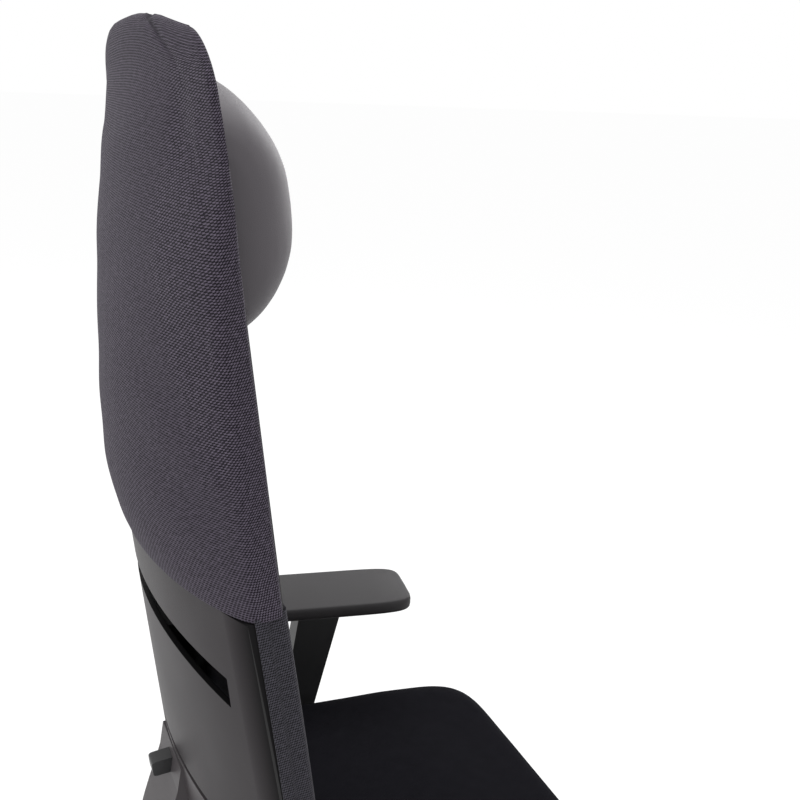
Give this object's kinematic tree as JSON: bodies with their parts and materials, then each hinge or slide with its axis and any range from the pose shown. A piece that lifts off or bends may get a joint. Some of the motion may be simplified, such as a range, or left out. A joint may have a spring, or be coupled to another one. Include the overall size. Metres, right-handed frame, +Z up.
{
  "type": "office chair",
  "caption": "High-backed mesh executive chair on castors with a slotted back shell, padded fabric sleeve, sliding neck pillow, synchro tilt and height-adjustable armrests.",
  "frame": {"origin": "centre of the footprint on the floor", "axes": "+Z up, the sitter faces -Y, +X is the sitter's left"},
  "size_m": [0.6226, 0.6086, 1.2649],
  "materials": {
    "base_plastic": "fine moulded texture",
    "castor_plastic": "moulded",
    "tread": "hard polyurethane tread",
    "column_paint": "black powder coat",
    "rod_steel": "ground rod",
    "zinc_steel": "zinc plated",
    "mechanism_black": "black powder-coated casting",
    "black_plastic": "fine moulded texture",
    "shell_plastic": "dark grey, fine moulded texture",
    "seat_fabric": "black woven upholstery over foam",
    "knit": "charcoal open knit",
    "pillow_cover": "smooth leather-look cover over foam",
    "pad_soft": "soft moulded polyurethane"
  },
  "bodies": {
    "base": {"star_base": "base_plastic", "column_tube": "column_paint"},
    "lift": {"piston_rod": "rod_steel"},
    "chassis": {"mechanism_housing": "mechanism_black", "front_pivot_pin": "zinc_steel", "rear_pivot_pin": "zinc_steel"},
    "tension_knob": {"tension_knob": "black_plastic"},
    "height_lever": {"height_lever": "black_plastic"},
    "lock_lever": {"tilt_lock_lever": "black_plastic"},
    "carrier": {"seat_carrier": "mechanism_black", "arm_bracket_left": "mechanism_black", "arm_bracket_right": "mechanism_black", "arm_bolts_left": "zinc_steel", "arm_bolts_right": "zinc_steel"},
    "seat": {"seat_pan": "black_plastic", "seat_cushion": "seat_fabric"},
    "depth_button": {"depth_button": "black_plastic"},
    "spine": {"spine": "shell_plastic"},
    "height_paddle": {"height_paddle": "black_plastic"},
    "back": {"height_carriage": "black_plastic", "back_shell": "shell_plastic", "mesh_frame": "black_plastic", "mesh_panel": "knit", "back_sleeve": "knit", "headrest_rail": "black_plastic"},
    "pillow": {"pillow_slide": "black_plastic", "neck_pillow": "pillow_cover"},
    "arm_left": {"arm_sleeve_left": "black_plastic"},
    "arm_button_left": {"arm_button_left": "black_plastic"},
    "pad_carrier_left": {"pad_carrier_left": "black_plastic"},
    "pad_left": {"arm_pad_left": "pad_soft"},
    "arm_right": {"arm_sleeve_right": "black_plastic"},
    "arm_button_right": {"arm_button_right": "black_plastic"},
    "pad_carrier_right": {"pad_carrier_right": "black_plastic"},
    "pad_right": {"arm_pad_right": "pad_soft"},
    "castor_1": {"castor_fork_1": "castor_plastic"},
    "wheels_1": {"castor_wheels_1": "tread"},
    "castor_2": {"castor_fork_2": "castor_plastic"},
    "wheels_2": {"castor_wheels_2": "tread"},
    "castor_3": {"castor_fork_3": "castor_plastic"},
    "wheels_3": {"castor_wheels_3": "tread"},
    "castor_4": {"castor_fork_4": "castor_plastic"},
    "wheels_4": {"castor_wheels_4": "tread"},
    "castor_5": {"castor_fork_5": "castor_plastic"},
    "wheels_5": {"castor_wheels_5": "tread"}
  },
  "joints": [
    {"name": "lift_slide", "type": "slide", "parent": "base", "child": "lift", "axis": [0, 0, 1], "range_m": [0, 0.11]},
    {"name": "seat_swivel", "type": "hinge", "parent": "lift", "child": "chassis", "pos_m": [0, 0.01265, 0.3], "axis": [0, 0, 1], "continuous": true},
    {"name": "recline", "type": "hinge", "parent": "chassis", "child": "spine", "pos_m": [0, 0.08, 0.308], "axis": [-1, 0, 0], "range_deg": [0, 20], "stiffness_Nm_per_rad": 120, "springref_deg": -20.05},
    {"name": "seat_tilt", "type": "hinge", "parent": "chassis", "child": "carrier", "pos_m": [0, -0.096, 0.33], "axis": [-1, 0, 0], "range_deg": [0, 8]},
    {"name": "seat_depth", "type": "slide", "parent": "carrier", "child": "seat", "axis": [0, -1, 0], "range_m": [0, 0.05]},
    {"name": "depth_press", "type": "slide", "parent": "seat", "child": "depth_button", "axis": [-1, 0, 0], "range_m": [0, 0.004], "stiffness_N_per_m": 500, "springref_m": -0.002},
    {"name": "back_height", "type": "slide", "parent": "spine", "child": "back", "axis": [0, 0.1409, 0.99], "range_m": [0, 0.06]},
    {"name": "paddle_press", "type": "slide", "parent": "spine", "child": "height_paddle", "axis": [0, -0.99, 0.1409], "range_m": [0, 0.004], "stiffness_N_per_m": 600, "springref_m": -0.002},
    {"name": "pillow_height", "type": "slide", "parent": "back", "child": "pillow", "axis": [0, 0.1409, 0.99], "range_m": [-0.04, 0.04]},
    {"name": "tension_turn", "type": "hinge", "parent": "chassis", "child": "tension_knob", "pos_m": [-0.075, -0.062, 0.326], "axis": [1, 0, 0], "range_deg": [-720, 720]},
    {"name": "height_lever_turn", "type": "hinge", "parent": "chassis", "child": "height_lever", "pos_m": [-0.075, -0.034, 0.326], "axis": [-1, 0, 0], "range_deg": [0, 20], "stiffness_Nm_per_rad": 0.6, "springref_deg": -17.19},
    {"name": "lock_lever_turn", "type": "hinge", "parent": "chassis", "child": "lock_lever", "pos_m": [0.075, -0.034, 0.326], "axis": [-1, 0, 0], "range_deg": [0, 25]},
    {"name": "arm_height_left", "type": "slide", "parent": "carrier", "child": "arm_left", "axis": [0, -0.1874, 0.9823], "range_m": [-0.03, 0.07]},
    {"name": "arm_press_left", "type": "slide", "parent": "arm_left", "child": "arm_button_left", "axis": [-1, 0, 0], "range_m": [0, 0.002], "stiffness_N_per_m": 500, "springref_m": -0.002},
    {"name": "pad_turn_left", "type": "hinge", "parent": "arm_left", "child": "pad_carrier_left", "pos_m": [0.268, -0.02938, 0.5704], "axis": [0, 0, 1], "range_deg": [-7.7, 22.3]},
    {"name": "pad_slide_left", "type": "slide", "parent": "pad_carrier_left", "child": "pad_left", "axis": [-0.1271, -0.9919, 0], "range_m": [0, 0.05]},
    {"name": "arm_height_right", "type": "slide", "parent": "carrier", "child": "arm_right", "axis": [0, -0.1874, 0.9823], "range_m": [0, 0.1]},
    {"name": "arm_press_right", "type": "slide", "parent": "arm_right", "child": "arm_button_right", "axis": [1, 0, 0], "range_m": [0, 0.002], "stiffness_N_per_m": 500, "springref_m": -0.002},
    {"name": "pad_turn_right", "type": "hinge", "parent": "arm_right", "child": "pad_carrier_right", "pos_m": [-0.268, -0.02376, 0.54093], "axis": [0, 0, -1], "range_deg": [-7.7, 22.3]},
    {"name": "pad_slide_right", "type": "slide", "parent": "pad_carrier_right", "child": "pad_right", "axis": [0.1271, -0.9919, 0], "range_m": [0, 0.05]},
    {"name": "castor_swivel_1", "type": "hinge", "parent": "base", "child": "castor_1", "pos_m": [0, -0.28735, 0.07], "axis": [0, 0, 1], "continuous": true},
    {"name": "wheel_spin_1", "type": "hinge", "parent": "castor_1", "child": "wheels_1", "pos_m": [0, -0.26835, 0.03], "axis": [1, 0, 0], "continuous": true},
    {"name": "castor_swivel_2", "type": "hinge", "parent": "base", "child": "castor_2", "pos_m": [0.28532, -0.08006, 0.07], "axis": [0, 0, 1], "continuous": true},
    {"name": "wheel_spin_2", "type": "hinge", "parent": "castor_2", "child": "wheels_2", "pos_m": [0.28532, -0.06106, 0.03], "axis": [1, 0, 0], "continuous": true},
    {"name": "castor_swivel_3", "type": "hinge", "parent": "base", "child": "castor_3", "pos_m": [0.17634, 0.25535, 0.07], "axis": [0, 0, 1], "continuous": true},
    {"name": "wheel_spin_3", "type": "hinge", "parent": "castor_3", "child": "wheels_3", "pos_m": [0.17634, 0.27435, 0.03], "axis": [1, 0, 0], "continuous": true},
    {"name": "castor_swivel_4", "type": "hinge", "parent": "base", "child": "castor_4", "pos_m": [-0.17634, 0.25535, 0.07], "axis": [0, 0, 1], "continuous": true},
    {"name": "wheel_spin_4", "type": "hinge", "parent": "castor_4", "child": "wheels_4", "pos_m": [-0.17634, 0.27435, 0.03], "axis": [1, 0, 0], "continuous": true},
    {"name": "castor_swivel_5", "type": "hinge", "parent": "base", "child": "castor_5", "pos_m": [-0.28532, -0.08006, 0.07], "axis": [0, 0, 1], "continuous": true},
    {"name": "wheel_spin_5", "type": "hinge", "parent": "castor_5", "child": "wheels_5", "pos_m": [-0.28532, -0.06106, 0.03], "axis": [1, 0, 0], "continuous": true}
  ],
  "couplings": [
    {"joint": "seat_tilt", "follows": "recline", "ratio": 0.4}
  ]
}
